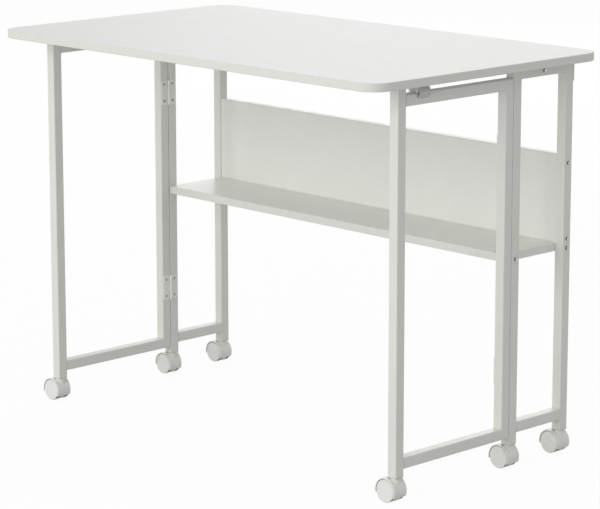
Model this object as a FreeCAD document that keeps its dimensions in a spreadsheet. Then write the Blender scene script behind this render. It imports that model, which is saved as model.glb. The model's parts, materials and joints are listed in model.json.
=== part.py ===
import FreeCAD, Part
import Sketcher
import math
import os

# Folding desk on six casters, in millimetres. The origin is on the floor under the middle of the top,
# +X to the right, +Y to the back, +Z up.

DIMENSIONS = (
    ("top_width", 1000.0),
    ("top_depth", 580.0),
    ("top_height", 738.5),
    ("top_thick", 15.0),
    ("top_corner", 40.0),
    ("top_round", 1.2),
    ("tube_side", 20.0),
    ("tube_wall", 1.2),
    ("tube_round", 2.0),
    ("frame_width", 937.0),
    ("frame_front", 88.8),
    ("frame_depth", 158.3),
    ("frame_rail_low", 65.5),
    ("gate_front", -201.5),
    ("gate_gap", 0.8),
    ("hinge_ahead", 1.2),
    ("gate_low", 59.0),
    ("gate_high", 707.0),
    ("tube_bottom", 46.1),
    ("board_thick", 15.0),
    ("board_round", 0.8),
    ("shelf_top", 392.0),
    ("panel_top", 555.0),
    ("panel_bolt_low", 401.5),
    ("panel_bolt_high", 540.0),
    ("bolt_radius", 3.0),
    ("bolt_hole", 3.2),
    ("bolt_reach", 21.0),
    ("bolt_head_radius", 4.3),
    ("bolt_head_high", 2.6),
    ("bolt_crown", 1.5),
    ("socket_radius", 1.9),
    ("socket_deep", 1.8),
    ("insert_radius", 4.5),
    ("insert_long", 24.0),
    ("screw_radius", 1.75),
    ("screw_head", 3.2),
    ("screw_long", 12.0),
    ("leaf_thick", 1.5),
    ("leaf_corner", 2.5),
    ("knuckle_radius", 3.0),
    ("knuckle_gap", 0.3),
    ("pin_radius", 1.5),
    ("pin_press", 0.02),
    ("running_gap", 0.05),
    ("gate_hinge_high", 50.0),
    ("gate_leaf", 18.0),
    ("gate_screw_pitch", 33.5),
    ("gate_hinge_low_z", 184.1),
    ("gate_hinge_high_z", 583.0),
    ("top_hinge_wide", 20.0),
    ("top_leaf", 34.0),
    ("top_screw_pitch", 16.0),
    ("top_screw_edge", 5.0),
    ("catch_start", 46.5),
    ("catch_long", 26.0),
    ("catch_wide", 22.0),
    ("catch_high", 16.1),
    ("catch_round", 0.8),
    ("catch_play", 0.5),
    ("catch_screw_pitch", 13.0),
    ("catch_counterbore", 4.0),
    ("hook_long", 26.0),
    ("hook_thick", 2.0),
    ("hook_radius", 8.7),
    ("hook_half_angle", 60.0),
    ("hook_drop", 15.6),
    ("pad_thick", 3.6),
    ("pad_play", 0.4),
    ("plug_play", 0.1),
    ("pad_plug_long", 14.0),
    ("plug_flange", 1.2),
    ("socket_plug_long", 28.0),
    ("stem_radius", 3.0),
    ("stem_top", 71.5),
    ("stem_bottom", 27.5),
    ("stem_bore_bottom", 26.5),
    ("end_chamfer", 0.6),
    ("wheel_radius", 20.5),
    ("wheel_wide", 10.4),
    ("wheel_inner_round", 1.6),
    ("wheel_outer_round", 1.2),
    ("wheel_play", 0.4),
    ("axle_radius", 2.0),
    ("axle_long", 24.6),
    ("caster_trail", 11.0),
    ("hood_inner", 21.2),
    ("hood_outer", 23.3),
    ("hood_wide", 31.2),
    ("hood_low_angle", -25.0),
    ("hood_sweep", 219.0),
    ("hood_round", 0.8),
    ("web_wide", 9.0),
    ("web_radius", 21.0),
    ("web_low_angle", -55.0),
    ("web_sweep", 290.0),
    ("hub_radius", 9.0),
    ("boss_radius", 8.5),
    ("boss_top", 44.5),
)

doc = FreeCAD.newDocument("folding_desk")
sheet = doc.addObject("Spreadsheet::Sheet", "sizes")
for row, (alias, number) in enumerate(DIMENSIONS, start=1):
    sheet.set(f"A{row}", alias)
    sheet.set(f"B{row}", str(number))
    sheet.setAlias(f"B{row}", alias)
doc.recompute()


class Size:
    """A length of the sheet, or a sum of lengths, with the expression that keeps it live."""

    def __init__(self, value, text):
        self.value = value
        self.text = text

    def __add__(self, other):
        other = as_size(other)
        return Size(self.value + other.value, f"({self.text} + {other.text})")

    def __sub__(self, other):
        other = as_size(other)
        return Size(self.value - other.value, f"({self.text} - {other.text})")

    def __mul__(self, other):
        other = as_size(other)
        return Size(self.value * other.value, f"({self.text} * {other.text})")

    def __truediv__(self, other):
        other = as_size(other)
        return Size(self.value / other.value, f"({self.text} / {other.text})")

    def __neg__(self):
        return Size(-self.value, f"(0 - {self.text})")


def as_size(number):
    return number if isinstance(number, Size) else Size(float(number), f"({float(number)})")


class Sheet:
    """The sheet's cells, by alias."""

    def __getattr__(self, alias):
        return Size(float(sheet.get(alias)), f"sizes.{alias}")


size = Sheet()
nodes = []
RIGHT, BACK, UP = FreeCAD.Vector(1, 0, 0), FreeCAD.Vector(0, 1, 0), FreeCAD.Vector(0, 0, 1)
UPRIGHT = FreeCAD.Rotation()
ALONG_BACK = FreeCAD.Rotation(RIGHT, -90)
ALONG_RIGHT = FreeCAD.Rotation(BACK, 90)
ALONG_FRONT = FreeCAD.Rotation(RIGHT, 90)
SIDES = (("left", -1), ("right", 1))


# General helpers

def facing(x_axis, y_axis):
    """The turn that lays a piece's own X and Y along two directions of the desk."""
    return FreeCAD.Rotation(x_axis, y_axis, x_axis.cross(y_axis), "XYZ")


def bind(thing, name, amount):
    thing.setExpression(name, as_size(amount).text)


def place(thing, x, y, z, turn=UPRIGHT):
    spot = [as_size(amount) for amount in (x, y, z)]
    thing.Placement = FreeCAD.Placement(FreeCAD.Vector(*[amount.value for amount in spot]), turn)
    for letter, amount in zip("xyz", spot):
        bind(thing, f"Placement.Base.{letter}", amount)


def new_body(label):
    return doc.addObject("PartDesign::Body", label)


def keep(piece):
    nodes.append(piece)
    return piece


def group(label, copies):
    """One node of separate solids: each copy is a master piece with its spot and turn."""
    node = doc.addObject("Part::Compound", label)
    links = []
    for number, (master, spot, turn) in enumerate(copies, start=1):
        link = doc.addObject("App::Link", f"{label}_{number}")
        link.LinkedObject = master
        place(link, *spot, turn)
        links.append(link)
    node.Links = links
    return keep(node)


# Sketch helpers

def sketch_on(body, plane, lift=0.0):
    sketch = body.newObject("Sketcher::SketchObject", f"{body.Name}_sketch")
    support = [datum for datum in body.Origin.OriginFeatures if datum.Role == plane]
    sketch.AttachmentSupport = [(support[0], "")]
    sketch.MapMode = "FlatFace"
    bind(sketch, "AttachmentOffset.Base.z", lift)
    return sketch


def fix_point(sketch, shape, end, x, y):
    for kind, amount in (("DistanceX", as_size(x)), ("DistanceY", as_size(y))):
        number = sketch.addConstraint(Sketcher.Constraint(kind, -1, 1, shape, end, amount.value))
        bind(sketch, f"Constraints[{number}]", amount)


def fix_radius(sketch, shape, radius):
    number = sketch.addConstraint(Sketcher.Constraint("Radius", shape, as_size(radius).value))
    bind(sketch, f"Constraints[{number}]", radius)


def flat(x, y):
    return FreeCAD.Vector(as_size(x).value, as_size(y).value, 0)


def circle(sketch, x, y, radius):
    shape = sketch.addGeometry(Part.Circle(flat(x, y), UP, as_size(radius).value), False)
    fix_point(sketch, shape, 3, x, y)
    fix_radius(sketch, shape, radius)


def outline(sketch, points):
    """A closed outline of straight lines."""
    following = points[1:] + points[:1]
    lines = [
        sketch.addGeometry(Part.LineSegment(flat(*start), flat(*end)), False)
        for start, end in zip(points, following)
    ]
    for line, after, (x, y) in zip(lines, lines[1:] + lines[:1], following):
        sketch.addConstraint(Sketcher.Constraint("Coincident", line, 2, after, 1))
        fix_point(sketch, line, 2, x, y)


def rectangle(sketch, x_low, x_high, y_low, y_high):
    outline(sketch, [(x_low, y_low), (x_high, y_low), (x_high, y_high), (x_low, y_high)])


def rounded(sketch, half_x, half_y, radius):
    """A rectangle about the sketch's origin, with round corners."""
    corners = ((1, -1), (1, 1), (-1, 1), (-1, -1))
    arcs = []
    for quarter, (right, up) in enumerate(corners):
        centre = ((half_x - radius) * right, (half_y - radius) * up)
        whole = Part.Circle(flat(*centre), UP, radius.value)
        begin, end = math.radians(90 * quarter - 90), math.radians(90 * quarter)
        arc = sketch.addGeometry(Part.ArcOfCircle(whole, begin, end), False)
        fix_point(sketch, arc, 3, *centre)
        fix_radius(sketch, arc, radius)
        arcs.append(arc)
    for quarter, (arc, after) in enumerate(zip(arcs, arcs[1:] + arcs[:1])):
        right, up = corners[quarter]
        if quarter % 2 == 0:
            start, end = (half_x * right, (half_y - radius) * up), (half_x * right, (radius - half_y) * up)
        else:
            start, end = ((half_x - radius) * right, half_y * up), ((radius - half_x) * right, half_y * up)
        side = sketch.addGeometry(Part.LineSegment(flat(*start), flat(*end)), False)
        sketch.addConstraint(Sketcher.Constraint("Tangent", arc, 2, side, 1))
        sketch.addConstraint(Sketcher.Constraint("Tangent", side, 2, after, 1))


# Feature helpers

def pad(body, sketch, length, symmetric=False):
    feature = body.newObject("PartDesign::Pad", f"{body.Name}_pad")
    feature.Profile = sketch
    feature.SideType = "Symmetric" if symmetric else "One side"
    bind(feature, "Length", length)
    return feature


def cut_through(body, sketch):
    feature = body.newObject("PartDesign::Pocket", f"{body.Name}_cut")
    feature.Profile = sketch
    feature.Type = "ThroughAll"
    feature.SideType = "Symmetric"
    return feature


def revolve(body, sketch):
    feature = body.newObject("PartDesign::Revolution", f"{body.Name}_turned")
    feature.Profile = sketch
    feature.ReferenceAxis = (sketch, ["V_Axis"])
    feature.Angle = 360.0
    return feature


def cylinder(body, kind, radius, length, x, y, z, turn, sweep=None):
    """A round primitive of the body: kind is Additive or Subtractive."""
    feature = body.newObject(f"PartDesign::{kind}Cylinder", f"{body.Name}_round")
    bind(feature, "Radius", radius)
    bind(feature, "Height", length)
    if sweep is not None:
        bind(feature, "Angle", sweep)
    place(feature, x, y, z, turn)
    return feature


def fillet(body, base, radius, wanted):
    """Rounds the edges of the base feature that the test picks."""
    doc.recompute()
    picked = [f"Edge{number}" for number, edge in enumerate(base.Shape.Edges, start=1) if wanted(edge)]
    feature = body.newObject("PartDesign::Fillet", f"{body.Name}_fillet")
    feature.Base = (base, picked)
    bind(feature, "Radius", radius)
    return feature


def same(number, amount):
    return abs(number - as_size(amount).value) < 1e-6


def is_round(edge, radius):
    return isinstance(edge.Curve, Part.Circle) and same(edge.Curve.Radius, radius)


# Places that several pieces share

half_tube = size.tube_side / 2
tube_inside = half_tube - size.tube_wall
top_under = size.top_height - size.top_thick
outer_face = size.frame_width / 2
inner_face = outer_face - size.tube_side
tube_x = outer_face - half_tube
frame_back = size.frame_front + size.frame_depth
front_y = size.frame_front + half_tube
rear_y = frame_back - half_tube
frame_middle = (size.frame_front + frame_back) / 2
gate_y = size.gate_front + half_tube
gate_back = size.frame_front - size.gate_gap
hinge_y = size.frame_front - size.gate_gap / 2 - size.hinge_ahead
hinge_x = inner_face - size.knuckle_radius
shelf_middle = size.shelf_top - size.board_thick / 2
rail_z = top_under - half_tube
pad_bottom = top_under - size.pad_play - size.pad_thick
top_hinge_y = frame_back + size.knuckle_radius
top_hinge_z = top_under - size.knuckle_radius


# Square tubes of the frame and the gates

def mitre(body, length, far_end, side):
    """Cuts an end at 45 degrees, so that the tube is short on the given side."""
    spill = half_tube
    sketch = sketch_on(body, "YZ_Plane")
    end, inward = (length, -1) if far_end else (as_size(0), 1)
    outline(sketch, [
        (half_tube * -side, end),
        ((half_tube + spill) * side, end + (size.tube_side + spill) * inward),
        ((half_tube + spill) * side, end - spill * inward),
        (half_tube * -side, end - spill * inward),
    ])
    cut_through(body, sketch)


def tube(label, length, spot, turn, mitres=(), holes=()):
    body = new_body(label)
    section = sketch_on(body, "XY_Plane")
    rounded(section, half_tube, half_tube, size.tube_round)
    rounded(section, tube_inside, tube_inside, size.tube_round - size.tube_wall)
    pad(body, section, length)
    for far_end, side in mitres:
        mitre(body, length, far_end, side)
    if holes:
        drilling = sketch_on(body, "YZ_Plane")
        for height in holes:
            circle(drilling, 0, height, size.bolt_hole)
        cut_through(body, drilling)
    place(body, *spot, turn)
    return keep(body)


def side_frame(name, side):
    """Two uprights with a mitred rail across the top and a rail low between them."""
    x = tube_x * side
    upright_long = top_under - size.tube_bottom
    shelf_hole = shelf_middle - size.tube_bottom
    panel_holes = [height - size.tube_bottom for height in (size.panel_bolt_low, size.panel_bolt_high)]
    tube(f"{name}_front_upright", upright_long, (x, front_y, size.tube_bottom), UPRIGHT,
         [(True, 1)], [shelf_hole])
    tube(f"{name}_rear_upright", upright_long, (x, rear_y, size.tube_bottom), UPRIGHT,
         [(True, -1)], [shelf_hole] + panel_holes)
    tube(f"{name}_top_rail", size.frame_depth, (x, size.frame_front, rail_z), ALONG_BACK,
         [(False, 1), (True, 1)], [size.frame_depth / 2])
    tube(f"{name}_bottom_rail", size.frame_depth - size.tube_side * 2,
         (x, size.frame_front + size.tube_side, size.frame_rail_low + half_tube), ALONG_BACK)


def gate(name, side):
    """A leg frame: a tall front upright, and a hinge upright mitred to the two rails."""
    x = tube_x * side
    rail_start = size.gate_front + size.tube_side
    rail_long = gate_back - rail_start
    tube(f"{name}_gate_front_upright", pad_bottom - size.tube_bottom,
         (x, gate_y, size.tube_bottom), UPRIGHT)
    tube(f"{name}_gate_hinge_upright", size.gate_high - size.gate_low,
         (x, gate_back - half_tube, size.gate_low), UPRIGHT, [(False, -1), (True, -1)])
    tube(f"{name}_gate_top_rail", rail_long,
         (x, rail_start, size.gate_high - half_tube), ALONG_BACK, [(True, 1)])
    tube(f"{name}_gate_bottom_rail", rail_long,
         (x, rail_start, size.gate_low + half_tube), ALONG_BACK, [(True, -1)])


for name, side in SIDES:
    side_frame(name, side)
    gate(name, side)
tube("top_cross_rail", inner_face * 2, (-inner_face, frame_middle, rail_z), ALONG_RIGHT)


# Boards: the top, the shelf and the panel that stands at the back of the shelf

def tabletop():
    body = new_body("tabletop")
    plan = sketch_on(body, "XY_Plane")
    rounded(plan, size.top_width / 2, size.top_depth / 2, size.top_corner)
    slab = pad(body, plan, size.top_thick)
    fillet(body, slab, size.top_round, lambda edge: same(edge.BoundBox.ZLength, 0))
    place(body, 0, 0, top_under)
    keep(body)


def end_drilled_board(label, half_y, half_z, holes, y, z):
    """A board between the inner faces of the frames, drilled into both ends for the bolt inserts."""
    body = new_body(label)
    section = sketch_on(body, "YZ_Plane")
    rounded(section, half_y, half_z, size.board_round)
    pad(body, section, inner_face * 2, symmetric=True)
    for start in (-inner_face, inner_face - size.insert_long):
        for hole_y, hole_z in holes:
            cylinder(body, "Subtractive", size.insert_radius, size.insert_long,
                     start, hole_y, hole_z, ALONG_RIGHT)
    place(body, 0, y, z)
    keep(body)


tabletop()
end_drilled_board(
    "shelf", size.frame_depth / 2, size.board_thick / 2,
    [(front_y - frame_middle, 0), (rear_y - frame_middle, 0)], frame_middle, shelf_middle)
panel_middle = (size.shelf_top + size.panel_top) / 2
end_drilled_board(
    "back_panel", size.board_thick / 2, (size.panel_top - size.shelf_top) / 2,
    [(0, size.panel_bolt_low - panel_middle), (0, size.panel_bolt_high - panel_middle)], rear_y, panel_middle)


# Bolts through the tubes, and the inserts that they screw into

def turned(label, points):
    """A piece turned about its own Z from a half section of radius and height."""
    body = new_body(label)
    half_section = sketch_on(body, "XZ_Plane")
    outline(half_section, points)
    revolve(body, half_section)
    return body


def sleeve(label, inside, outside, length):
    return turned(label, [(inside, 0), (outside, 0), (outside, length), (inside, length)])


bolt = turned("bolt_piece", [
    (0, size.socket_deep - size.bolt_head_high),
    (size.socket_radius, size.socket_deep - size.bolt_head_high),
    (size.socket_radius, -size.bolt_head_high),
    (size.bolt_head_radius - size.bolt_crown, -size.bolt_head_high),
    (size.bolt_head_radius, size.bolt_crown - size.bolt_head_high),
    (size.bolt_head_radius, 0),
    (size.bolt_radius, 0),
    (size.bolt_radius, size.tube_side + size.bolt_reach),
    (0, size.tube_side + size.bolt_reach),
])
insert = sleeve("insert_piece", size.bolt_radius, size.insert_radius, size.insert_long)

rail_plug = new_body("rail_plug_piece")
plug_section = sketch_on(rail_plug, "XY_Plane")
plug_half = tube_inside - size.plug_play
rounded(plug_section, plug_half, plug_half, size.tube_round - size.tube_wall)
circle(plug_section, 0, 0, size.bolt_radius)
pad(rail_plug, plug_section, size.insert_long)

board_bolts = (
    (front_y, shelf_middle),
    (rear_y, shelf_middle),
    (rear_y, size.panel_bolt_low),
    (rear_y, size.panel_bolt_high),
)
bolt_copies = []
insert_copies = []
for side in (-1, 1):
    inward = FreeCAD.Rotation(UP, RIGHT * -side)
    for y, z in board_bolts + ((frame_middle, rail_z),):
        bolt_copies.append((bolt, (outer_face * side, y, z), inward))
    for y, z in board_bolts:
        insert_copies.append((insert, (inner_face * side, y, z), inward))
    insert_copies.append((rail_plug, (inner_face * side, frame_middle, rail_z), inward))
group("frame_bolts", bolt_copies)
group("bolt_inserts", insert_copies)


# Hinges: leaves with rolled knuckles, pins and countersunk screws

screw = turned("screw_piece", [
    (0, 0),
    (size.screw_head, 0),
    (size.screw_radius, size.leaf_thick),
    (size.screw_radius, size.screw_long - size.screw_radius),
    (0, size.screw_long),
])


def is_leaf_corner(edge, reach):
    """True for the edges through the plate's thickness at its free end."""
    return same(edge.BoundBox.XLength, size.leaf_thick) and same(edge.BoundBox.Center.y, reach)


def hinge_leaf(label, length, reach, screws, middle_knuckle):
    """A leaf about the pin on its own Z: it lies on the face at +X, and reaches along +Y."""
    body = new_body(label)
    root = size.knuckle_radius + size.knuckle_gap
    inside = size.knuckle_radius - size.leaf_thick
    plate = sketch_on(body, "XY_Plane")
    rectangle(plate, inside, size.knuckle_radius, root, reach)
    sheet_piece = pad(body, plate, length, symmetric=True)
    fillet(body, sheet_piece, size.leaf_corner, lambda edge: is_leaf_corner(edge, reach))
    middle = length / 3
    if middle_knuckle:
        spans = [(middle / -2, middle)]
    else:
        end_long = middle - size.knuckle_gap
        spans = [(length / -2, end_long), (length / 2 - end_long, end_long)]
    for start, long in spans:
        tongue = sketch_on(body, "XY_Plane", start)
        rectangle(tongue, inside, size.knuckle_radius, 0, root)
        pad(body, tongue, long)
        cylinder(body, "Additive", size.knuckle_radius, long, 0, 0, start, UPRIGHT)
    bore = size.pin_radius + (size.running_gap if middle_knuckle else size.pin_press)
    cylinder(body, "Subtractive", bore, length, 0, 0, length / -2, UPRIGHT)
    for y, z in screws:
        sink = body.newObject("PartDesign::SubtractiveCone", f"{label}_sink")
        bind(sink, "Radius1", size.screw_head)
        bind(sink, "Radius2", size.screw_radius)
        bind(sink, "Height", size.leaf_thick)
        place(sink, inside, y, z, ALONG_RIGHT)
    return body


leaf_middle = (size.gate_leaf + size.knuckle_radius + size.knuckle_gap) / 2
gate_screws = [(leaf_middle, size.gate_screw_pitch / 2 * end) for end in (-1, 1)]
gate_leaf = hinge_leaf("gate_leaf_piece", size.gate_hinge_high, size.gate_leaf, gate_screws, True)
post_leaf = hinge_leaf("post_leaf_piece", size.gate_hinge_high, size.gate_leaf, gate_screws, False)
far_screw = size.top_leaf - size.top_screw_edge
top_screw_reach = (far_screw, far_screw - size.top_screw_pitch)
top_leaf_screws = [(reach, 0) for reach in top_screw_reach]
flap_leaf = hinge_leaf("flap_leaf_piece", size.top_hinge_wide, size.top_leaf, top_leaf_screws, True)
back_leaf = hinge_leaf("back_leaf_piece", size.top_hinge_wide, size.top_leaf, top_leaf_screws, False)
gate_pin = sleeve("gate_pin_piece", 0, size.pin_radius, size.gate_hinge_high)
top_pin = sleeve("top_pin_piece", 0, size.pin_radius, size.top_hinge_wide)

hinge_heights = (size.gate_hinge_low_z, size.gate_hinge_high_z)
screw_face = inner_face - size.leaf_thick
frame_leaves, back_leaves, flap_leaves, pins, frame_screws, top_screws = [], [], [], [], [], []
for name, side in SIDES:
    outward = RIGHT * side
    into_tube = FreeCAD.Rotation(UP, outward)
    gate_leaves, gate_screw_copies = [], []
    for z in hinge_heights:
        frame_leaves.append((post_leaf, (hinge_x * side, hinge_y, z), facing(outward, BACK)))
        gate_leaves.append((gate_leaf, (hinge_x * side, hinge_y, z), facing(outward, -BACK)))
        pins.append((gate_pin, (hinge_x * side, hinge_y, z - size.gate_hinge_high / 2), UPRIGHT))
        for away, height in gate_screws:
            frame_screws.append((screw, (screw_face * side, hinge_y + away, z + height), into_tube))
            gate_screw_copies.append((screw, (screw_face * side, hinge_y - away, z + height), into_tube))
    group(f"{name}_gate_hinge_leaves", gate_leaves)
    group(f"{name}_gate_hinge_screws", gate_screw_copies)
    back_leaves.append((back_leaf, (tube_x * side, top_hinge_y, top_hinge_z), facing(-BACK, -UP)))
    flap_leaves.append((flap_leaf, (tube_x * side, top_hinge_y, top_hinge_z), facing(UP, BACK)))
    pins.append((top_pin, (tube_x * side - size.top_hinge_wide / 2, top_hinge_y, top_hinge_z), ALONG_RIGHT))
    for away in top_screw_reach:
        frame_screws.append(
            (screw, (tube_x * side, frame_back + size.leaf_thick, top_hinge_z - away), ALONG_FRONT))
        top_screws.append(
            (screw, (tube_x * side, top_hinge_y + away, top_under - size.leaf_thick), UPRIGHT))
group("gate_hinge_frame_leaves", frame_leaves)
group("top_hinge_frame_leaves", back_leaves)
group("top_hinge_top_leaves", flap_leaves)
group("hinge_pins", pins)
group("frame_hinge_screws", frame_screws)


# Catches under the top: a block over each gate's rail, with a curved hook outside the rail

catch_y = size.gate_front + size.catch_start + size.catch_long / 2
catch_outer = outer_face + size.catch_play
catch_screw_spots = [size.catch_screw_pitch / 2 * end for end in (-1, 1)]

catch_block = new_body("catch_block_piece")
block_plan = sketch_on(catch_block, "XY_Plane")
rounded(block_plan, size.catch_wide / 2, size.catch_long / 2, size.catch_round)
for y in catch_screw_spots:
    circle(block_plan, 0, y, size.screw_radius)
pad(catch_block, block_plan, size.catch_high)
counterbore = size.catch_high - size.leaf_thick * 2
for y in catch_screw_spots:
    cylinder(catch_block, "Subtractive", size.catch_counterbore, counterbore, 0, y, 0, UPRIGHT)
    seat = catch_block.newObject("PartDesign::SubtractiveCone", "catch_seat")
    bind(seat, "Radius1", size.screw_head)
    bind(seat, "Radius2", size.screw_radius)
    bind(seat, "Height", size.leaf_thick)
    place(seat, 0, y, counterbore)

# The hook turns about its own Z; its mouth faces -X, and its flat tab stands along +Y.
catch_hook = new_body("catch_hook_piece")
mouth_share = Size(math.cos(math.radians(size.hook_half_angle.value)), "cos(sizes.hook_half_angle)")
mouth_x = size.hook_radius * mouth_share
hook_outside = size.hook_radius + size.hook_thick
turn_back = FreeCAD.Rotation(UP, -size.hook_half_angle.value)
cylinder(catch_hook, "Additive", hook_outside, size.hook_long, 0, 0, 0, turn_back, size.hook_half_angle * 2)
tab = sketch_on(catch_hook, "XY_Plane")
rectangle(tab, mouth_x, mouth_x + size.hook_thick, 0, size.hook_drop)
pad(catch_hook, tab, size.hook_long)
cylinder(catch_hook, "Subtractive", size.hook_radius, size.hook_long, 0, 0, 0, UPRIGHT)

blocks, hooks = [], []
for side in (-1, 1):
    block_x = (catch_outer - size.catch_wide / 2) * side
    blocks.append((catch_block, (block_x, catch_y, top_under - size.catch_high), UPRIGHT))
    hook_start = catch_y + size.catch_long / 2 - size.hook_long * (1 if side < 0 else 0)
    hooks.append((catch_hook, ((catch_outer - mouth_x) * side, hook_start, top_under - size.hook_drop),
                  facing(RIGHT * side, UP)))
    for y in catch_screw_spots:
        top_screws.append((screw, (block_x, catch_y + y, top_under - size.leaf_thick * 2), UPRIGHT))
group("gate_catches", blocks)
group("catch_hooks", hooks)
group("top_screws", top_screws)


# Plastic plugs in the tube ends: pads under the top and sockets for the caster stems

def tube_plug(label, flange, length, bore=None):
    """A square plug below its flange, as it fits the upper end of a tube."""
    body = new_body(label)
    cap = sketch_on(body, "XY_Plane")
    rounded(cap, half_tube, half_tube, size.tube_round)
    pad(body, cap, flange)
    plug = sketch_on(body, "XY_Plane", -length)
    rounded(plug, plug_half, plug_half, size.tube_round - size.tube_wall)
    pad(body, plug, length)
    if bore is not None:
        cylinder(body, "Subtractive", bore, length + flange, 0, 0, -length, UPRIGHT)
    return body


pad_plug = tube_plug("pad_piece", size.pad_thick, size.pad_plug_long)
socket = tube_plug("socket_piece", size.plug_flange, size.socket_plug_long, size.stem_radius)
stem = turned("stem_piece", [
    (0, 0),
    (size.stem_radius - size.end_chamfer, 0),
    (size.stem_radius, size.end_chamfer),
    (size.stem_radius, size.stem_top - size.stem_bottom - size.end_chamfer),
    (size.stem_radius - size.end_chamfer, size.stem_top - size.stem_bottom),
    (0, size.stem_top - size.stem_bottom),
])
UPSIDE_DOWN = FreeCAD.Rotation(RIGHT, 180)

sockets, stems = [], []
for name, side in SIDES:
    x = tube_x * side
    group(f"{name}_gate_top_pad", [(pad_plug, (x, gate_y, pad_bottom), UPRIGHT)])
    group(f"{name}_gate_caster_socket", [(socket, (x, gate_y, size.tube_bottom), UPSIDE_DOWN)])
    group(f"{name}_gate_caster_stem", [(stem, (x, gate_y, size.stem_bottom), UPRIGHT)])
    for y in (front_y, rear_y):
        sockets.append((socket, (x, y, size.tube_bottom), UPSIDE_DOWN))
        stems.append((stem, (x, y, size.stem_bottom), UPRIGHT))
group("frame_caster_sockets", sockets)
group("frame_caster_stems", stems)


# Casters: a hooded housing that swivels on its stem, and two wheels on an axle

def swept_from(angle):
    """The turn of a round primitive along the axle, whose sweep starts at an angle above +X."""
    return FreeCAD.Rotation(BACK, -angle.value) * ALONG_FRONT


def caster_housing():
    """The hood and the web between the wheels, about the axle along the piece's own Y."""
    body = new_body("caster_housing_piece")
    half_hood, half_web = size.hood_wide / 2, size.web_wide / 2
    boss_high = size.boss_top - size.wheel_radius
    cylinder(body, "Additive", size.hood_outer, size.hood_wide,
             0, half_hood, 0, swept_from(size.hood_low_angle), size.hood_sweep)
    cylinder(body, "Additive", size.boss_radius, boss_high, size.caster_trail, 0, 0, UPRIGHT)
    well = half_hood - half_web
    for start in (half_hood, -half_web):
        cylinder(body, "Subtractive", size.hood_inner, well, 0, start, 0, ALONG_FRONT)
    cylinder(body, "Additive", size.web_radius, size.web_wide,
             0, half_web, 0, swept_from(size.web_low_angle), size.web_sweep)
    cylinder(body, "Additive", size.hub_radius, size.web_wide, 0, half_web, 0, ALONG_FRONT)
    axle_bore = size.axle_radius + size.running_gap
    cylinder(body, "Subtractive", axle_bore, size.web_wide, 0, half_web, 0, ALONG_FRONT)
    stem_floor = size.stem_bore_bottom - size.wheel_radius
    bored = cylinder(body, "Subtractive", size.stem_radius + size.running_gap, boss_high - stem_floor,
                     size.caster_trail, 0, stem_floor, UPRIGHT)
    fillet(body, bored, size.hood_round, is_hood_rim)
    return body


def is_hood_rim(edge):
    return is_round(edge, size.hood_outer) and same(abs(edge.BoundBox.Center.y), size.hood_wide / 2)


def is_tread_rim(height):
    return lambda edge: is_round(edge, size.wheel_radius) and same(edge.BoundBox.ZMin, height)


def caster_wheel():
    """A wheel on the axle along its own Z, from its inner face out to its plain disc."""
    bore_end = size.axle_long / 2 - size.web_wide / 2 - size.wheel_play
    body = turned("wheel_piece", [
        (size.axle_radius, 0),
        (size.wheel_radius, 0),
        (size.wheel_radius, size.wheel_wide),
        (0, size.wheel_wide),
        (0, bore_end),
        (size.axle_radius, bore_end),
    ])
    inner = fillet(body, body.Tip, size.wheel_inner_round, is_tread_rim(0))
    fillet(body, inner, size.wheel_outer_round, is_tread_rim(size.wheel_wide))
    return body


housing = caster_housing()
wheel = caster_wheel()
axle = sleeve("axle_piece", 0, size.axle_radius, size.axle_long)
wheel_start = size.web_wide / 2 + size.wheel_play
for name, side in SIDES:
    for station, y in (("gate", gate_y), ("front", front_y), ("rear", rear_y)):
        x = tube_x * side - size.caster_trail
        spot = (x, y, size.wheel_radius)
        group(f"{name}_{station}_caster_housing", [(housing, spot, UPRIGHT)])
        group(f"{name}_{station}_caster_wheels", [
            (wheel, (x, y - wheel_start, size.wheel_radius), ALONG_FRONT),
            (wheel, (x, y + wheel_start, size.wheel_radius), ALONG_BACK),
        ])
        group(f"{name}_{station}_caster_axle",
              [(axle, (x, y - size.axle_long / 2, size.wheel_radius), ALONG_BACK)])


# Check every object, then write each sub-part

doc.recompute()
faults = [thing.Name for thing in doc.Objects if {"Invalid", "Error"} & set(thing.State)]
faults += [node.Label for node in nodes if node.Shape.isNull() or not node.Shape.isValid()]
if faults:
    raise RuntimeError(f"objects that failed: {faults}")
os.makedirs("parts", exist_ok=True)
for node in nodes:
    node.Shape.exportStep(f"parts/{node.Label}.step")
    print(node.Label, len(node.Shape.Solids), round(node.Shape.Volume))
print(len(nodes), "sub-parts")
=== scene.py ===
import json
import math

import bmesh
import bpy
from mathutils import Euler, Matrix, Vector


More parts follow.
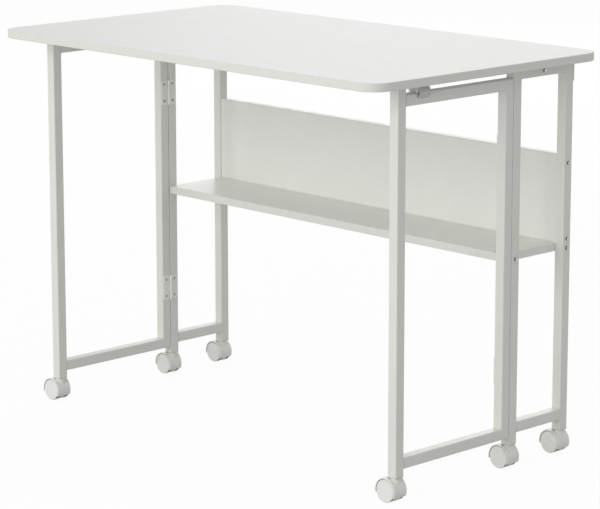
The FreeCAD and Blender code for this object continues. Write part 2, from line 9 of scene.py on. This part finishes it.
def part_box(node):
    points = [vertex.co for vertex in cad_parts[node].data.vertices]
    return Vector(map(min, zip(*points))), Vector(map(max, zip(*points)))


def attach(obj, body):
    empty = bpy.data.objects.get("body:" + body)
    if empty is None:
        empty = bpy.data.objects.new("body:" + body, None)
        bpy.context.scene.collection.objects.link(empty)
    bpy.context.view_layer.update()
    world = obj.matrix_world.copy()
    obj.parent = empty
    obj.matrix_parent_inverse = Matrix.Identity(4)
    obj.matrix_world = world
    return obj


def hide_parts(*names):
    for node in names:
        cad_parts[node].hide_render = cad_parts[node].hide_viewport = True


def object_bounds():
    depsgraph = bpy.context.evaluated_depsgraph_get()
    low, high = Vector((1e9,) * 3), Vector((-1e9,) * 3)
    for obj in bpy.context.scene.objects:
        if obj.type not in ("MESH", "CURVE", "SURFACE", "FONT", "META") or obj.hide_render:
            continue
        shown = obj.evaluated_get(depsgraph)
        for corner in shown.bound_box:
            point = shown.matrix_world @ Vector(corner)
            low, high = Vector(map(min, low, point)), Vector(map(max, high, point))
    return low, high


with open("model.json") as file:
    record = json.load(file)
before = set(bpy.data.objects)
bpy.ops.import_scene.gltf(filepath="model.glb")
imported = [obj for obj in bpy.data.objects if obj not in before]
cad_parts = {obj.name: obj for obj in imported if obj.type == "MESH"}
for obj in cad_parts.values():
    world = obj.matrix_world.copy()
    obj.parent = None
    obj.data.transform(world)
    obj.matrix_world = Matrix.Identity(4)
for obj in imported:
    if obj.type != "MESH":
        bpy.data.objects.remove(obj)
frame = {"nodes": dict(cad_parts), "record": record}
cad_low, cad_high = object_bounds()
nodes = frame["nodes"]

MM = 0.001
SIDES = ("left", "right")
STATIONS = ("gate", "front", "rear")
ACROSS, BACK, UP = Vector((1, 0, 0)), Vector((0, 1, 0)), Vector((0, 0, 1))
SLOT_OF_NODE = {entry["node"]: entry["material_slot"] for entry in frame["record"]["subparts"]}
BODY_OF_NODE = {
    node: body for body, members in frame["record"]["behaviour"]["bodies"].items() for node in members
}


# Finishes

def shade(colour, share):
    """A colour made lighter or darker."""
    return tuple(channel * share for channel in colour)


# Base colours, as linear red, green and blue
PAINT_WHITE = (0.80, 0.81, 0.765)
HINGE_WHITE = shade(PAINT_WHITE, 1.12)
BOARD_WHITE = shade(PAINT_WHITE, 1.07)
TOP_WHITE = (0.84, 0.84, 0.83)
BAND_WHITE = (0.775, 0.78, 0.735)
NYLON_WHITE = (0.88, 0.89, 0.85)
HOOD_WHITE = (0.88, 0.89, 0.845)
HOOK_WHITE = (0.62, 0.625, 0.59)
PLUG_GREY = (0.56, 0.56, 0.54)
PAD_GREY = (0.36, 0.36, 0.35)
TREAD_GREY = (0.33, 0.33, 0.32)
ZINC_GREY = (0.72, 0.72, 0.70)
SCREW_GREY = (0.46, 0.46, 0.44)
# Light grey for the painted highlight on the crowns of the bolt heads
HIGHLIGHT_GREY = (0.55, 0.55, 0.53)
OXIDE_BLACK = (0.035, 0.035, 0.036)

# Roughness, from the smoothest spots of a finish to the dullest
OILED = (0.22, 0.34)
BRIGHT = (0.28, 0.42)
SATIN = (0.34, 0.44)
DRAWN = (0.34, 0.48)
SILKY = (0.36, 0.46)
EGGSHELL = (0.40, 0.50)
WAXY = (0.42, 0.52)
DULL = (0.45, 0.55)
PEARL = (0.50, 0.60)
RUBBERY = (0.60, 0.72)


class Finish:
    """A material in the making: its shader, its nodes and the piece's own coordinates."""

    # Noise lies mostly between these two values
    NOISE_LOW, NOISE_HIGH = 0.3, 0.7
    # The colour sockets of a Mix node, by number, since its other sockets have the same names
    MIX_UNDER, MIX_OVER, MIX_RESULT = 6, 7, 2

    def __init__(self, name):
        self.material = bpy.data.materials.new(name)
        self.material.use_nodes = True
        self.tree = self.material.node_tree
        self.shader = self.tree.nodes["Principled BSDF"]
        self.place = self.add("ShaderNodeTexCoord").outputs["Object"]

    def add(self, kind, **settings):
        node = self.tree.nodes.new(kind)
        for key, value in settings.items():
            setattr(node, key, value)
        return node

    def link(self, source, target):
        self.tree.links.new(source, target)

    def math(self, operation, *values):
        """A Math node's result; each value is a number or a socket."""
        node = self.add("ShaderNodeMath", operation=operation)
        for value, socket in zip(values, node.inputs):
            if isinstance(value, (int, float)):
                socket.default_value = value
            else:
                self.link(value, socket)
        return node.outputs[0]

    def axis(self, letter):
        """One of the piece's own coordinates, in metres."""
        parts = self.add("ShaderNodeSeparateXYZ")
        self.link(self.place, parts.inputs[0])
        return parts.outputs[letter]

    def noise(self, grain, detail=2.0, stretch=(1, 1, 1)):
        """Soft noise whose spots are about one grain across, in metres."""
        mapping = self.add("ShaderNodeMapping")
        mapping.inputs["Scale"].default_value = stretch
        self.link(self.place, mapping.inputs["Vector"])
        texture = self.add("ShaderNodeTexNoise")
        texture.inputs["Scale"].default_value = 1 / grain
        texture.inputs["Detail"].default_value = detail
        self.link(mapping.outputs[0], texture.inputs["Vector"])
        return texture.outputs["Fac"]

    def mixed(self, share, under, colour):
        """A colour laid over the colour of a socket, where share is 1."""
        node = self.add("ShaderNodeMix", data_type="RGBA")
        self.link(share, node.inputs[0])
        self.link(under, node.inputs[self.MIX_UNDER])
        node.inputs[self.MIX_OVER].default_value = (*colour, 1.0)
        return node.outputs[self.MIX_RESULT]

    def base_colour(self, source):
        self.link(source, self.shader.inputs["Base Color"])

    def colours(self, noise, low, high):
        """Makes the base colour run from one colour to another as the noise rises."""
        ramp = self.add("ShaderNodeValToRGB")
        ends = ((self.NOISE_LOW, low), (self.NOISE_HIGH, high))
        for stop, (position, colour) in zip(ramp.color_ramp.elements, ends):
            stop.position = position
            stop.color = (*colour, 1.0)
        self.link(noise, ramp.inputs[0])
        self.base_colour(ramp.outputs[0])
        return ramp.outputs[0]

    def roughness(self, noise, gloss):
        """Makes the roughness run between the two ends of a gloss as the noise rises."""
        spread = self.add("ShaderNodeMapRange")
        spread.inputs["From Min"].default_value = self.NOISE_LOW
        spread.inputs["From Max"].default_value = self.NOISE_HIGH
        spread.inputs["To Min"].default_value, spread.inputs["To Max"].default_value = gloss
        self.link(noise, spread.inputs["Value"])
        self.link(spread.outputs[0], self.shader.inputs["Roughness"])

    def bump(self, noise, depth, strength):
        node = self.add("ShaderNodeBump")
        node.inputs["Strength"].default_value = strength
        node.inputs["Distance"].default_value = depth
        self.link(noise, node.inputs["Height"])
        self.link(node.outputs[0], self.shader.inputs["Normal"])

    def set(self, name, value):
        self.shader.inputs[name].default_value = value


def powder_coat(name, colour):
    """Sprayed and baked paint: an even satin white with a fine orange peel."""
    cloud, haze, peel = 90 * MM, 7 * MM, 1.3 * MM
    cloud_shade, peel_depth, peel_strength = 0.975, 0.05 * MM, 0.35
    finish = Finish(name)
    finish.colours(finish.noise(cloud, detail=3.0), shade(colour, cloud_shade), colour)
    finish.roughness(finish.noise(haze), SATIN)
    finish.bump(finish.noise(peel, detail=1.0), peel_depth, peel_strength)
    return finish.material


def melamine(name, colour, band_colour, edge_distance, gloss):
    """Printed paper in resin on chipboard, with a plastic band glued round its edges.

    edge_distance makes the socket that tells how far a point is inside the board's outline.
    """
    band, seam, glue_shade = 2.0 * MM, 0.12 * MM, 0.62
    cloud, haze, pore = 50 * MM, 4 * MM, 0.7 * MM
    cloud_shade, pore_depth, pore_strength, shine = 0.982, 0.03 * MM, 0.30, 0.45
    finish = Finish(name)
    inside = edge_distance(finish)
    from_seam = finish.math("ABSOLUTE", finish.math("SUBTRACT", inside, band))
    on_band = finish.math("LESS_THAN", inside, band)
    on_seam = finish.math("LESS_THAN", from_seam, seam)
    paper = finish.colours(finish.noise(cloud, detail=4.0), shade(colour, cloud_shade), colour)
    with_band = finish.mixed(on_band, paper, band_colour)
    finish.base_colour(finish.mixed(on_seam, with_band, shade(band_colour, glue_shade)))
    finish.roughness(finish.noise(haze), gloss)
    finish.bump(finish.noise(pore, detail=3.0), pore_depth, pore_strength)
    finish.set("Specular IOR Level", shine)
    return finish.material


def mould(finish, colour, gloss):
    """Gives a finish a fine spark-eroded texture and faint flow shading; gives its colour's socket."""
    flow, haze, spark = 14 * MM, 2 * MM, 0.35 * MM
    flow_shade, spark_depth, spark_strength = 0.955, 0.02 * MM, 0.35
    plastic = finish.colours(finish.noise(flow), shade(colour, flow_shade), colour)
    finish.roughness(finish.noise(haze), gloss)
    finish.bump(finish.noise(spark), spark_depth, spark_strength)
    return plastic


def moulded(name, colour, gloss):
    """Injection-moulded plastic of one colour."""
    finish = Finish(name)
    mould(finish, colour, gloss)
    return finish.material


def treaded(name, axle_node):
    """Nylon wheels on one line of axles, coloured dark grey within half a millimetre of their outer running
    surface.
    """
    tread_depth = 0.5 * MM
    low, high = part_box(axle_node)
    axle = (low + high) / 2
    # The wheels stand on the floor, so the axle is one radius up
    wheel_radius = axle.z
    finish = Finish(name)
    squares = []
    for letter, centre in (("X", axle.x), ("Z", axle.z)):
        away = finish.math("SUBTRACT", finish.axis(letter), centre)
        squares.append(finish.math("MULTIPLY", away, away))
    radius = finish.math("SQRT", finish.math("ADD", *squares))
    on_tread = finish.math("GREATER_THAN", radius, wheel_radius - tread_depth)
    disc = mould(finish, NYLON_WHITE, WAXY)
    # The outer half millimetre of each wheel's radius is coloured dark grey.
    finish.base_colour(finish.mixed(on_tread, disc, TREAD_GREY))
    return finish.material


def plated_steel(name, colour, gloss):
    """Zinc over drawn wire: fine streaks and cloudy passivation."""
    cloud, streak, pit = 3 * MM, 0.4 * MM, 0.2 * MM
    cloud_shade, pit_depth, pit_strength, along = 0.80, 0.01 * MM, 0.25, (1, 1, 12)
    finish = Finish(name)
    finish.colours(finish.noise(cloud, detail=3.0), shade(colour, cloud_shade), colour)
    finish.roughness(finish.noise(streak, stretch=along), gloss)
    finish.bump(finish.noise(pit), pit_depth, pit_strength)
    finish.set("Metallic", 1.0)
    return finish.material


def black_oxide(name, bolt_node):
    """Oiled black oxide on bolts that lie across the desk, with a painted highlight: the crowns of their
    heads are coloured light grey.
    """
    highlight_depth, fade = 0.9 * MM, 0.5 * MM
    cloud, haze, pit = 1.5 * MM, 0.6 * MM, 0.15 * MM
    cloud_shade, pit_depth, pit_strength, metal = 0.6, 0.01 * MM, 0.2, 0.9
    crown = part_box(bolt_node)[1].x
    finish = Finish(name)
    oxide = finish.colours(finish.noise(cloud, detail=3.0), shade(OXIDE_BLACK, cloud_shade), OXIDE_BLACK)
    outwards = finish.math("ABSOLUTE", finish.axis("X"))
    # Painted highlight: the outermost part of each head along X, its crown, turns light grey.
    beyond = finish.math("DIVIDE", finish.math("SUBTRACT", outwards, crown - highlight_depth), fade)
    painted_highlight = finish.math("MINIMUM", finish.math("MAXIMUM", beyond, 0.0), 1.0)
    finish.base_colour(finish.mixed(painted_highlight, oxide, HIGHLIGHT_GREY))
    finish.roughness(finish.noise(haze), OILED)
    finish.bump(finish.noise(pit), pit_depth, pit_strength)
    finish.set("Metallic", metal)
    return finish.material


def inside_round_outline(node, radius):
    """How far inside a board's round-cornered outline, seen from above, a point lies."""
    low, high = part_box(node)
    half = (high - low) / 2
    middle = (low + high) / 2

    def socket(finish):
        reach = []
        for letter, centre, extent in (("X", middle.x, half.x), ("Y", middle.y, half.y)):
            away = finish.math("ABSOLUTE", finish.math("SUBTRACT", finish.axis(letter), centre))
            reach.append(finish.math("SUBTRACT", away, extent - radius))
        beyond = [finish.math("MAXIMUM", amount, 0.0) for amount in reach]
        squares = [finish.math("MULTIPLY", amount, amount) for amount in beyond]
        corner = finish.math("SQRT", finish.math("ADD", *squares))
        straight = finish.math("MINIMUM", finish.math("MAXIMUM", *reach), 0.0)
        return finish.math("SUBTRACT", radius, finish.math("ADD", corner, straight))

    return socket


def inside_long_edges(node, letter):
    """How far a point is from the nearer of a board's two long edges, along one axis."""
    low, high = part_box(node)
    number = "XYZ".index(letter)
    half = (high[number] - low[number]) / 2
    middle = (high[number] + low[number]) / 2

    def socket(finish):
        away = finish.math("ABSOLUTE", finish.math("SUBTRACT", finish.axis(letter), middle))
        return finish.math("SUBTRACT", half, away)

    return socket


TOP_CORNER = 40 * MM
top_outline = inside_round_outline("tabletop", TOP_CORNER)
shelf_outline = inside_long_edges("shelf", "Y")
panel_outline = inside_long_edges("back_panel", "Z")

paint = powder_coat("white powder coat", PAINT_WHITE)
pad_plastic = moulded("soft grey pad", PAD_GREY, RUBBERY)
screw_steel = plated_steel("dark screw steel", SCREW_GREY, DRAWN)
black = black_oxide("black oxide", "frame_bolts")

FINISH_OF_SLOT = {
    "frame_paint": paint,
    "hinge_steel": powder_coat("white hinge paint", HINGE_WHITE),
    "fixing_steel": plated_steel("bright zinc", ZINC_GREY, BRIGHT),
    "bolt_black": black,
    "plug_plastic": moulded("grey plug plastic", PLUG_GREY, DULL),
    "catch_plastic": moulded("white catch plastic", NYLON_WHITE, SILKY),
    "hook_plastic": moulded("pale hook plastic", HOOK_WHITE, EGGSHELL),
    "caster_plastic": moulded("white hood plastic", HOOD_WHITE, SILKY),
}
FINISH_OF_NODE = {
    "tabletop": melamine("white top melamine", TOP_WHITE, BAND_WHITE, top_outline, PEARL),
    "shelf": melamine("white shelf melamine", BOARD_WHITE, BAND_WHITE, shelf_outline, SATIN),
    "back_panel": melamine("white panel melamine", BOARD_WHITE, BOARD_WHITE, panel_outline, SATIN),
}
for side in SIDES:
    FINISH_OF_NODE[f"{side}_gate_top_pad"] = pad_plastic
    wheel_nylon = treaded(f"{side} wheel nylon", f"{side}_front_caster_axle")
    for station in STATIONS:
        FINISH_OF_NODE[f"{side}_{station}_caster_wheels"] = wheel_nylon

for node, slot in SLOT_OF_NODE.items():
    surface = nodes[node].data.materials
    surface.clear()
    surface.append(FINISH_OF_NODE.get(node) or FINISH_OF_SLOT[slot])


# Fasteners and welds

def new_piece(name, shape, finish, body):
    """Makes a shape a piece of the desk that rides on a body."""
    crease = math.radians(35)
    bmesh.ops.recalc_face_normals(shape, faces=shape.faces)
    mesh = bpy.data.meshes.new(name)
    shape.to_mesh(mesh)
    shape.free()
    mesh.shade_smooth()
    mesh.set_sharp_from_angle(angle=crease)
    mesh.materials.append(finish)
    piece = bpy.data.objects.new(name, mesh)
    bpy.context.scene.collection.objects.link(piece)
    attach(piece, body)
    return piece


def solids(node):
    """The points of each separate solid of a node."""
    same_point = 0.0005 * MM
    shape = bmesh.new()
    shape.from_mesh(nodes[node].data)
    bmesh.ops.remove_doubles(shape, verts=shape.verts, dist=same_point)
    shape.verts.index_update()
    seen = set()
    found = []
    for start in shape.verts:
        if start.index in seen:
            continue
        seen.add(start.index)
        island, waiting = [], [start]
        while waiting:
            vert = waiting.pop()
            island.append(vert.co.copy())
            for edge in vert.link_edges:
                other = edge.other_vert(vert)
                if other.index not in seen:
                    seen.add(other.index)
                    waiting.append(other)
        found.append(island)
    shape.free()
    return found


def fastener_places(node):
    """Where each fastener of a node sits, from the middle of its head with +Z along its shank."""
    head_slice = 0.3 * MM
    places = []
    for points in solids(node):
        low, high = Vector(map(min, *points)), Vector(map(max, *points))
        middle, extent = (low + high) / 2, high - low
        along = max(range(3), key=lambda axis: extent[axis])

        def spread(end):
            near = [point - middle for point in points if abs(point[along] - end) < head_slice]
            return max(sum(away[axis] ** 2 for axis in range(3) if axis != along) for away in near)

        head, tip = sorted((low[along], high[along]), key=spread, reverse=True)
        spot = middle.copy()
        spot[along] = head
        shank = Vector((0, 0, 0))
        shank[along] = tip - head
        places.append(Matrix.Translation(spot) @ UP.rotation_difference(shank).to_matrix().to_4x4())
    return places


def ring(shape, radius, count):
    """A round loop about Z, with each of its edges once."""
    made = bmesh.ops.create_circle(shape, segments=count, radius=radius)
    return list(dict.fromkeys(edge for vert in made["verts"] for edge in vert.link_edges))


def extruded(shape, edges):
    """Extrudes a loop in place; gives the new loop's points and edges."""
    made = bmesh.ops.extrude_edge_only(shape, edges=edges)["geom"]
    new_verts = [item for item in made if isinstance(item, bmesh.types.BMVert)]
    new_edges = [item for item in made if isinstance(item, bmesh.types.BMEdge)]
    return new_verts, new_edges


def grow(shape, edges, scale, lift):
    """Extrudes a loop, then scales it about Z and lifts it; gives the new loop."""
    new_verts, new_edges = extruded(shape, edges)
    bmesh.ops.scale(shape, vec=(scale, scale, 1), verts=new_verts)
    bmesh.ops.translate(shape, vec=(0, 0, lift), verts=new_verts)
    return new_edges


def turn_on(shape, edges, profile):
    """Carries a loop on through a profile of (radius, height) points; its first point is the loop."""
    for (wide, low), (next_wide, high) in zip(profile, profile[1:]):
        edges = grow(shape, edges, next_wide / wide, high - low)
    return edges


def button_bolt(long):
    """A button-head bolt with a hexagon socket."""
    head, crown, high, shank = 4.3 * MM, 2.0 * MM, 2.6 * MM, 3.0 * MM
    socket, deep, land = 1.9 * MM, 1.8 * MM, 2.3 * MM
    flats, cuts, draft, steps = 6, 3, 0.96, 6
    shape = bmesh.new()
    bmesh.ops.subdivide_edges(shape, edges=ring(shape, socket, flats), cuts=cuts)
    hexagon = list(shape.edges)
    rim = ring(shape, land, len(hexagon))
    bmesh.ops.bridge_loops(shape, edges=hexagon + rim)
    bmesh.ops.edgeloop_fill(shape, edges=grow(shape, hexagon, draft, deep))
    dome = [
        (land + (head - land) * math.sin(angle), crown * (1 - math.cos(angle)))
        for angle in (math.pi / 2 * step / steps for step in range(steps + 1))
    ]
    below = [(head, high), (shank, high), (shank, long)]
    bmesh.ops.edgeloop_fill(shape, edges=turn_on(shape, rim, dome + below))
    return shape


def cross_screw(long):
    """A countersunk screw with a cross recess, threaded as far as its point."""
    head, lip, sink, shank, tip = 3.2 * MM, 0.15 * MM, 1.5 * MM, 1.75 * MM, 0.1 * MM
    arm, half_slot, deep, narrow = 1.7 * MM, 0.38 * MM, 1.1 * MM, 0.45
    thread, pitch, turns, around = 0.22 * MM, 1.2 * MM, 6, 24
    shape = bmesh.new()
    arm_end = ((half_slot, arm, 0), (-half_slot, arm, 0), (-half_slot, half_slot, 0))
    corners = []
    for quarter in range(4):
        quarter_turn = Matrix.Rotation(math.pi / 2 * quarter, 3, "Z")
        corners += [shape.verts.new(quarter_turn @ Vector(point)) for point in arm_end]
    cross = [shape.edges.new(pair) for pair in zip(corners, corners[1:] + corners[:1])]
    rim = ring(shape, head, around)
    bmesh.ops.triangle_fill(shape, use_beauty=True, edges=cross + rim)
    bmesh.ops.edgeloop_fill(shape, edges=grow(shape, cross, narrow, deep))
    profile = [(head, 0), (head, lip), (shank, sink)]
    for turn in range(turns):
        root = sink + pitch * (turn + 0.5)
        profile += [(shank, root), (shank + thread, root + pitch / 4), (shank, root + pitch / 2)]
    profile.append((tip, long))
    bmesh.ops.edgeloop_fill(shape, edges=turn_on(shape, rim, profile))
    return shape


def fasteners(node, finish, pattern):
    """Stands detailed fasteners in the places of a node's plain ones."""
    mesh = bpy.data.meshes.new(f"{node}_pattern")
    pattern.to_mesh(mesh)
    shape = bmesh.new()
    for place in fastener_places(node):
        before = len(shape.verts)
        shape.from_mesh(mesh)
        shape.verts.ensure_lookup_table()
        bmesh.ops.transform(shape, matrix=place, verts=shape.verts[before:])
    pattern.free()
    bpy.data.meshes.remove(mesh)
    piece = new_piece(f"{node}_detailed", shape, finish, BODY_OF_NODE[node])
    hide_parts(node)


def weld_bead(shape, corner, away, rise):
    """A rippled bead across a tube, in the corner between the faces that lead off along away and rise."""
    leg, long, pitch, ripple = 2.4 * MM, 15 * MM, 1.25 * MM, 0.86
    section = ((0, 0), (1, 0), (0.70, 0.40), (0.40, 0.70), (0, 1))
    start = corner - ACROSS * long / 2
    outline = [shape.verts.new(start + away * leg * out + rise * leg * up) for out, up in section]
    loop = list(shape.faces.new(outline).edges)
    for step in range(round(long / pitch)):
        verts, loop = extruded(shape, loop)
        bmesh.ops.translate(shape, vec=ACROSS * pitch, verts=verts)
        start = start + ACROSS * pitch
        share = ripple if step % 2 == 0 else 1 / ripple
        bmesh.ops.scale(shape, vec=(share, share, share), space=Matrix.Translation(-start), verts=verts)
    bmesh.ops.edgeloop_fill(shape, edges=loop)


def welds(name, body, rails):
    """Beads in the inner corners of a frame.

    A rail is its node, the nodes of its uprights, and 1 where its inner side is its upper one or -1 where it
    is its lower one.
    """
    shape = bmesh.new()
    for rail, uprights, inner in rails:
        low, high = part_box(rail)
        z = high.z if inner > 0 else low.z
        for upright in uprights:
            post_low, post_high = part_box(upright)
            in_front = post_low.y + post_high.y < low.y + high.y
            y = post_high.y if in_front else post_low.y
            corner = Vector(((low.x + high.x) / 2, y, z))
            weld_bead(shape, corner, BACK if in_front else -BACK, UP * inner)
    new_piece(name, shape, paint, body)


BOLT_LONG, SCREW_LONG = 43.6 * MM, 12 * MM

fasteners("frame_bolts", black, button_bolt(BOLT_LONG))
for node in ("frame_hinge_screws", "left_gate_hinge_screws", "right_gate_hinge_screws", "top_screws"):
    fasteners(node, screw_steel, cross_screw(SCREW_LONG))
frame_rails = []
for side in SIDES:
    posts = (f"{side}_front_upright", f"{side}_rear_upright")
    frame_rails += [(f"{side}_top_rail", posts, -1), (f"{side}_bottom_rail", posts, 1)]
    gate_posts = (f"{side}_gate_front_upright", f"{side}_gate_hinge_upright")
    welds(f"{side}_gate_welds", f"{side}_gate", [
        (f"{side}_gate_top_rail", gate_posts, -1),
        (f"{side}_gate_bottom_rail", gate_posts, 1),
    ])
welds("frame_welds", "frame", frame_rails)


# Stage, light and camera

def grey(level):
    return (level, level, level, 1.0)


def lit_or_seen(tree, lit, seen):
    """Joins what sheds light on the desk with what the camera, a reflection or a clear piece looks at."""
    path = tree.nodes.new("ShaderNodeLightPath")
    share = path.outputs["Is Camera Ray"]
    for ray in ("Is Glossy Ray", "Is Transmission Ray"):
        larger = tree.nodes.new("ShaderNodeMath")
        larger.operation = "MAXIMUM"
        tree.links.new(share, larger.inputs[0])
        tree.links.new(path.outputs[ray], larger.inputs[1])
        share = larger.outputs[0]
    joined = tree.nodes.new("ShaderNodeMixShader")
    for source, socket in zip((share, lit.outputs[0], seen.outputs[0]), joined.inputs):
        tree.links.new(source, socket)
    return joined.outputs[0]


def floor_paper():
    """The floor's material: nearly white to the camera, and still takes a faint shadow."""
    glow, bounce = 0.94, 0.55
    material = bpy.data.materials.new("pale floor")
    material.use_nodes = True
    tree = material.node_tree
    tree.nodes.clear()
    lit = tree.nodes.new("ShaderNodeBsdfDiffuse")
    lit.inputs["Color"].default_value = grey(bounce)
    shine = tree.nodes.new("ShaderNodeEmission")
    shine.inputs["Strength"].default_value = glow
    shadowed = tree.nodes.new("ShaderNodeBsdfDiffuse")
    shadowed.inputs["Color"].default_value = grey(1 - glow)
    white = tree.nodes.new("ShaderNodeAddShader")
    tree.links.new(shine.outputs[0], white.inputs[0])
    tree.links.new(shadowed.outputs[0], white.inputs[1])
    output = tree.nodes.new("ShaderNodeOutputMaterial")
    tree.links.new(lit_or_seen(tree, lit, white), output.inputs[0])
    return material


def stage_floor():
    """A pale floor that reaches well past the picture."""
    half = 14.0
    sheet = bmesh.new()
    bmesh.ops.create_grid(sheet, x_segments=1, y_segments=1, size=half)
    mesh = bpy.data.meshes.new("floor")
    sheet.to_mesh(mesh)
    sheet.free()
    mesh.materials.append(floor_paper())
    floor = bpy.data.objects.new("floor", mesh)
    bpy.context.scene.collection.objects.link(floor)


def studio_world():
    """Even fill light from all sides, and a white backdrop."""
    fill_level = 0.604
    world = bpy.data.worlds.new("studio")
    world.use_nodes = True
    tree = world.node_tree
    tree.nodes.clear()
    fill = tree.nodes.new("ShaderNodeBackground")
    fill.inputs["Color"].default_value = grey(fill_level)
    backdrop = tree.nodes.new("ShaderNodeBackground")
    backdrop.inputs["Color"].default_value = grey(1.0)
    output = tree.nodes.new("ShaderNodeOutputWorld")
    tree.links.new(lit_or_seen(tree, fill, backdrop), output.inputs[0])
    bpy.context.scene.world = world


def soft_lamp(name, spot, wide, high, watts):
    """A softbox that faces the middle of the desk."""
    desk_middle = (cad_low + cad_high) / 2
    data = bpy.data.lights.new(name, "AREA")
    data.shape = "RECTANGLE"
    data.size, data.size_y = wide, high
    data.energy = watts
    lamp = bpy.data.objects.new(name, data)
    lamp.location = spot
    lamp.rotation_euler = (desk_middle - Vector(spot)).to_track_quat("-Z", "Y").to_euler()
    bpy.context.scene.collection.objects.link(lamp)


def photo_camera():
    """The photograph's viewpoint, from straight edges of the desk in the picture."""
    spot = Vector((3.4140, -3.2525, 1.3599))
    yaw, pitch, roll = 0.8067, 0.1944, -0.0009
    data = bpy.data.cameras.new("photo camera")
    data.sensor_fit = "HORIZONTAL"
    data.sensor_width = 36.0
    data.lens = 154.9
    data.shift_x, data.shift_y = 0.0018, -0.0848
    data.clip_end = 60.0
    camera = bpy.data.objects.new("photo camera", data)
    look = Euler((math.pi / 2 - pitch, 0, yaw)).to_matrix() @ Matrix.Rotation(roll, 3, "Z")
    camera.matrix_world = Matrix.Translation(spot) @ look.to_4x4()
    bpy.context.scene.collection.objects.link(camera)
    bpy.context.scene.camera = camera


stage_floor()
studio_world()
soft_lamp("front softbox", spot=(-0.1, -5.0, 1.75), wide=4.2, high=3.4, watts=109)
soft_lamp("back softbox", spot=(-3.4, 4.4, 2.9), wide=3.0, high=3.0, watts=60)
photo_camera()
bpy.context.scene.view_settings.view_transform = "Standard"
